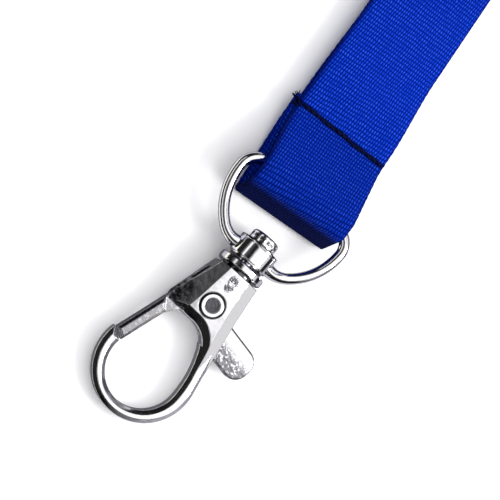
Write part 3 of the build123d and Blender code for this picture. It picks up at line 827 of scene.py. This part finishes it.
def stitch_row(seam, strap, height, name, turned_over):
    """A row of stitches across the strap at the seam."""
    pattern = one_stitch(seam)
    turn = Matrix((STRAP_CROSS, STRAP_DIR, UP)).transposed().to_4x4()
    if turned_over:
        turn = turn @ Matrix.Rotation(math.pi, 4, "X")
    half_w = strap.width / MM / 2
    pitch = seam.stitch_length / MM * 0.88
    count = round((2 * half_w - 0.4) / pitch)
    pieces = []
    for i in range(count):
        copy = pattern.copy()
        copy.data = pattern.data.copy()
        bpy.context.scene.collection.objects.link(copy)
        x = (i - (count - 1) / 2) * pitch
        stray = 0.1 * math.sin(3.7 * i)
        slant = Matrix.Rotation(math.radians(2.5 + 2 * math.sin(5.1 * i)), 4, "Z")
        copy.data.transform(Matrix.Translation(strap_point(SEAM_S + stray, height, x)) @ turn @ slant)
        pieces.append(copy)
    bpy.data.objects.remove(pattern)
    return joined(pieces, name)


def tuft(strap, course):
    """Cut yarn ends that stand out at the left end of the seam."""
    half_w = strap.width / MM / 2
    pieces = []
    for i in range(24):
        long = (1.0 + 0.8 * abs(math.sin(2.1 * i))) * MM
        bpy.ops.object.select_all(action="DESELECT")
        bpy.ops.mesh.primitive_cone_add(vertices=6, radius1=0.2 * MM, radius2=0.07 * MM, depth=long)
        fibre = bpy.context.active_object
        bpy.ops.object.mode_set(mode="EDIT")
        bpy.ops.mesh.select_all(action="SELECT")
        for cut in (-0.25, 0.0, 0.25):
            bpy.ops.mesh.select_all(action="SELECT")
            bpy.ops.mesh.bisect(plane_co=(0, 0, cut * long), plane_no=(0, 0, 1))
        bpy.ops.object.mode_set(mode="OBJECT")
        for vertex in fibre.data.vertices:
            part = vertex.co.z / long + 0.5
            vertex.co.x += 0.3 * MM * math.sin(1.9 * i) * part * part
            vertex.co.y += 0.25 * MM * math.cos(1.3 * i) * part * part
        s = SEAM_S - 0.7 + 1.9 * ((i * 0.618) % 1)
        h = course.flap - 0.3 + 1.9 * ((i * 0.382) % 1)
        out = -half_w + 0.25 - 0.6 * ((i * 0.77) % 1) * (h < course.front - 0.2)
        aim = STRAP_CROSS * -1.0 + STRAP_DIR * (0.9 * math.sin(2.7 * i) + 0.2) + UP * 0.5 * math.sin(4.3 * i)
        turn = aim.normalized().to_track_quat("Z", "Y").to_matrix().to_4x4()
        place = strap_point(s, h, out) + aim.normalized() * long * 0.35
        fibre.data.transform(Matrix.Translation(place) @ turn)
        pieces.append(fibre)
    return joined(pieces, "seam_fray")


class LANYARD_OT_seam(bpy.types.Operator):
    """Sew the seam: thread on both faces and the cut yarn at its left end"""

    bl_idname = "lanyard.seam"
    bl_label = "Sew Seam"

    def execute(self, context):
        seam, strap = context.scene.lanyard_seam, context.scene.lanyard_strap
        course = Strap(strap)
        material = thread_finish(seam)
        half_t = course.t / 2
        sunk = 0.3
        needle = stitch_row(
            seam, strap, course.front + half_t - SEAM_DIP + sunk, "seam_thread_front", False
        )
        bobbin = stitch_row(seam, strap, course.rear - half_t - 0.05, "seam_thread_rear", True)
        fray = tuft(strap, course)
        for piece in (needle, bobbin, fray):
            piece.data.materials.clear()
            piece.data.materials.append(material)
            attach(piece, "strap")
        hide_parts("seam_needle_thread")
        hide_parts("seam_bobbin_thread")
        return {"FINISHED"}


# ---------------------------------------------------------------- band
def elastic(seam):
    """Ribbed black elastic."""
    paint = Paint("band_elastic", Specular_IOR_Level=0.1)
    turn = math.atan2(STRAP_DIR.y, STRAP_DIR.x)
    place = paint.placed(BAR, (0, 0, turn))
    x, y, z = paint.split(place)
    rib = (x / 0.8).fraction().arch()
    knit = (y * 1.6 + z * 1.6).fraction().arch()
    nap = paint.noise(place, 4.0, 2.0)
    light = tuple(min(1.0, c * 5) for c in seam.band[:3]) + (1,)
    paint.set(
        Base_Color=paint.mix(rib * knit * 0.7 + nap * 0.2, tuple(seam.band), light),
        Roughness=0.7 + nap * 0.2,
        Normal=paint.bump(rib * 0.7 + knit * 0.3, 0.15 * MM),
    )
    return paint.material


class LANYARD_OT_band(bpy.types.Operator):
    """Fit the elastic band round the hank"""

    bl_idname = "lanyard.band"
    bl_label = "Fit Band"

    def execute(self, context):
        seam, strap = context.scene.lanyard_seam, context.scene.lanyard_strap
        course = Strap(strap)
        wide = strap.width + 2 * 0.95 * MM
        tall = course.hank_h * MM
        bpy.ops.object.select_all(action="DESELECT")
        bpy.ops.mesh.primitive_cube_add(size=1, location=(0, 0, 0))
        band = bpy.context.active_object
        band.name = band.data.name = "hank_band"
        band.scale = (wide, BAND_W * MM, tall)
        bpy.ops.object.transform_apply(location=True, rotation=True, scale=True)
        bpy.ops.object.mode_set(mode="EDIT")
        bpy.ops.mesh.select_mode(type="FACE")
        bpy.ops.mesh.select_all(action="DESELECT")
        bpy.ops.object.mode_set(mode="OBJECT")
        for face in band.data.polygons:
            face.select = abs(face.normal.y) > 0.5
        bpy.ops.object.mode_set(mode="EDIT")
        bpy.ops.mesh.delete(type="FACE")
        bpy.ops.mesh.select_mode(type="EDGE")
        for i in range(1, 8):
            bpy.ops.mesh.select_all(action="SELECT")
            bpy.ops.mesh.bisect(plane_co=(0, (i / 8 - 0.5) * BAND_W * MM, 0), plane_no=(0, 1, 0))
        bpy.ops.object.mode_set(mode="OBJECT")
        if len(band.data.polygons) != 32:
            raise RuntimeError("the band did not open into a loop")
        for edge in band.data.edges:
            a, b = (band.data.vertices[v].co for v in edge.vertices)
            edge.select = abs(a.x - b.x) < 1e-6 and abs(a.z - b.z) < 1e-6
        bpy.ops.object.mode_set(mode="EDIT")
        bpy.ops.mesh.bevel(offset=1.6 * MM, segments=6, affect="EDGES")
        bpy.ops.object.mode_set(mode="OBJECT")
        for vertex in band.data.vertices:
            waist = 1 - (abs(vertex.co.y) / (BAND_W * MM / 2)) ** 4
            vertex.co.x *= 1 - 0.012 * waist
        wall = band.modifiers.new("wall", "SOLIDIFY")
        wall.thickness = BAND_T * MM * 0.8
        wall.offset = -1
        soft = band.modifiers.new("soft", "BEVEL")
        soft.width = 0.2 * MM
        soft.segments = 2
        soft.limit_method = "ANGLE"
        apply_all(band)
        turn = Matrix((STRAP_CROSS, STRAP_DIR, UP)).transposed().to_4x4()
        middle = strap_point(course.waist, course.hank_h / 2, 0)
        band.data.transform(Matrix.Translation(middle) @ turn)
        bpy.ops.object.shade_smooth_by_angle(angle=math.radians(50))
        band.data.materials.append(elastic(seam))
        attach(band, "strap")
        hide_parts("storage_band")
        return {"FINISHED"}


# ---------------------------------------------------------------- stage
def floor_finish():
    """Matt white card with a faint mottle."""
    paint = Paint("white_card", Roughness=0.85, Specular_IOR_Level=0.1)
    place = paint.placed((0, 0, 0), (0, 0, 0))
    paint.set(
        Base_Color=paint.mix(
            paint.noise(place, 0.05, 2.0), (0.93, 0.93, 0.94, 1), (0.95, 0.95, 0.955, 1)
        )
    )
    return paint.material


def light_room(scene, stage):
    """A pale room for the eye, a softbox above on the right for cloth and card. The metal sees
    that softbox with hard edges, a dark left side and horizon, and a lavender grey table."""
    scene.world = bpy.data.worlds.new("studio")
    room = Nodes(scene.world)
    toward = room.add("ShaderNodeTexCoord", output="Generated")
    right = Vector((math.cos(stage.turn), math.sin(stage.turn), 0))
    side = room.dot(toward, right)
    height = room.dot(toward, UP)
    aim = room.dot(toward, (right * 0.62 + UP * 0.8).normalized())
    # overhead: the softbox with a dark bar across it, the dark left side with one pale strip
    bar = (side - 0.57).size().ramp(0.1, 0.06)
    strip = (height - 0.59).size().ramp(0.1, 0.06) * side.ramp(-0.12, -0.25)
    softbox = aim.ramp(0.62, 0.82) * height.ramp(0.54, 0.6) * (1.2 - bar * 1.1)
    dusk = height.ramp(0.3, 0.5, 0.006, 0.2) * side.ramp(-0.3, -0.7) + 0.01 + strip * 0.9
    # at eye level: a grey wall on the right
    wall = side.ramp(0.3, 0.5, 0.0, 0.72) * height.ramp(0.51, 0.47) * height.ramp(0.22, 0.32)
    # below: the table, darker at its far edge and close by, with one bright line on the left
    table = (height + 0.5).size().ramp(0.36, 0.16, 0.13, 0.62) * side.ramp(-0.5, 0.6, 1.2, 0.9)
    upper = height.ramp(-0.05, 0.02)
    glint = (height + 0.27).size().ramp(0.1, 0.06) * side.ramp(-0.3, -0.6)
    level = (softbox + dusk + wall) * upper + glint + table * height.ramp(-0.06, -0.16)
    cool = room.mix(height.ramp(-0.1, -0.3), (1, 0.995, 0.985, 1), (0.93, 0.91, 1.0, 1))
    tint = room.mix(glint, cool, (1, 1, 0.8, 1))
    # mirror rays see the pattern, soft rays an even softbox, and the eye a pale room
    mirror = room.add("ShaderNodeBackground", {}, {"Color": tint, "Strength": level})
    soft = room.add(
        "ShaderNodeBackground",
        {},
        {"Color": (0.99, 0.99, 1, 1), "Strength": aim.ramp(0.25, 0.66) * stage.sky},
    )
    pale = room.add("ShaderNodeBackground", {}, {"Color": (0.96, 0.96, 0.97, 1), "Strength": 1.0})
    paths = room.tree.nodes.new("ShaderNodeLightPath").outputs
    lit = room.add("ShaderNodeMixShader", {}, {0: Value(room, paths["Is Glossy Ray"]), 1: soft, 2: mirror})
    seen = room.add("ShaderNodeMixShader", {}, {0: Value(room, paths["Is Camera Ray"]), 1: lit, 2: pale})
    output = room.tree.nodes.new("ShaderNodeOutputWorld")
    room.join(seen, output.inputs["Surface"])


def area_light(name, place, target, size, power, seen=True):
    """A square softbox that faces a target."""
    data = bpy.data.lights.new(name, "AREA")
    data.size = size
    data.energy = power
    light = bpy.data.objects.new(name, data)
    light.location = place
    light.rotation_euler = (target - place).to_track_quat("-Z", "Y").to_euler()
    light.visible_glossy = seen
    bpy.context.scene.collection.objects.link(light)
    return light


class LANYARD_OT_stage(bpy.types.Operator):
    """Lay the floor and set the lights and the camera"""

    bl_idname = "lanyard.stage"
    bl_label = "Set Stage"

    def execute(self, context):
        stage = context.scene.lanyard_stage
        scene = context.scene
        bpy.ops.object.select_all(action="DESELECT")
        bpy.ops.mesh.primitive_plane_add(size=4, location=(0, 0, -0.02 * MM))
        floor = bpy.context.active_object
        floor.name = "floor"
        floor.data.materials.append(floor_finish())
        floor.visible_glossy = False
        light_room(scene, stage)
        target = BAR + Vector((-0.2, -12.3, -3.9)) * MM
        right = Vector((math.cos(stage.turn), math.sin(stage.turn), 0))
        down = Vector((math.sin(stage.turn), -math.cos(stage.turn), 0))
        area_light(
            "side_softbox", target + (right * 0.75 + down * 0.42 + UP * 0.85) * 0.5, target, 0.22,
            stage.key,
        )
        area_light("fill", target + UP * 0.8, target, 0.9, stage.fill, seen=False)
        camera = bpy.data.objects.new("camera", bpy.data.cameras.new("camera"))
        camera.data.lens = stage.lens
        camera.data.sensor_width = 36
        camera.rotation_euler = (0, -stage.lean, stage.turn)
        back = camera.rotation_euler.to_matrix() @ UP
        camera.location = target + back * stage.distance
        camera.data.clip_start = 0.01
        scene.collection.objects.link(camera)
        scene.camera = camera
        scene.view_settings.view_transform = "Standard"
        scene.view_settings.look = "None"
        return {"FINISHED"}


# ---------------------------------------------------------------- add-on
class LANYARD_PT_panel(bpy.types.Panel):
    """Everything that builds the lanyard end, in order."""

    bl_idname = "LANYARD_PT_panel"
    bl_label = "Lanyard End"
    bl_space_type = "VIEW_3D"
    bl_region_type = "UI"
    bl_category = "Lanyard"

    def draw(self, context):
        scene = context.scene
        for settings, operator in (
            (scene.lanyard_metal, LANYARD_OT_metal),
            (scene.lanyard_strap, LANYARD_OT_strap),
            (scene.lanyard_seam, LANYARD_OT_seam),
            (None, LANYARD_OT_band),
            (scene.lanyard_stage, LANYARD_OT_stage),
        ):
            box = self.layout.box()
            for name in settings.__annotations__ if settings else ():
                box.prop(settings, name)
            box.operator(operator.bl_idname)


GROUPS = {
    "lanyard_strap": LANYARD_PG_strap,
    "lanyard_metal": LANYARD_PG_metal,
    "lanyard_seam": LANYARD_PG_seam,
    "lanyard_stage": LANYARD_PG_stage,
}
OPERATORS = (LANYARD_OT_metal, LANYARD_OT_strap, LANYARD_OT_seam, LANYARD_OT_band, LANYARD_OT_stage)


def register():
    for name, group in GROUPS.items():
        bpy.utils.register_class(group)
        setattr(bpy.types.Scene, name, bpy.props.PointerProperty(type=group))
    for operator in OPERATORS:
        bpy.utils.register_class(operator)
    bpy.utils.register_class(LANYARD_PT_panel)


def unregister():
    bpy.utils.unregister_class(LANYARD_PT_panel)
    for operator in reversed(OPERATORS):
        bpy.utils.unregister_class(operator)
    for name, group in reversed(GROUPS.items()):
        delattr(bpy.types.Scene, name)
        bpy.utils.unregister_class(group)


def main():
    """Builds everything in order."""
    register()
    bpy.ops.lanyard.metal()
    bpy.ops.lanyard.strap()
    bpy.ops.lanyard.seam()
    bpy.ops.lanyard.band()
    bpy.ops.lanyard.stage()


if __name__ == "__main__":
    main()
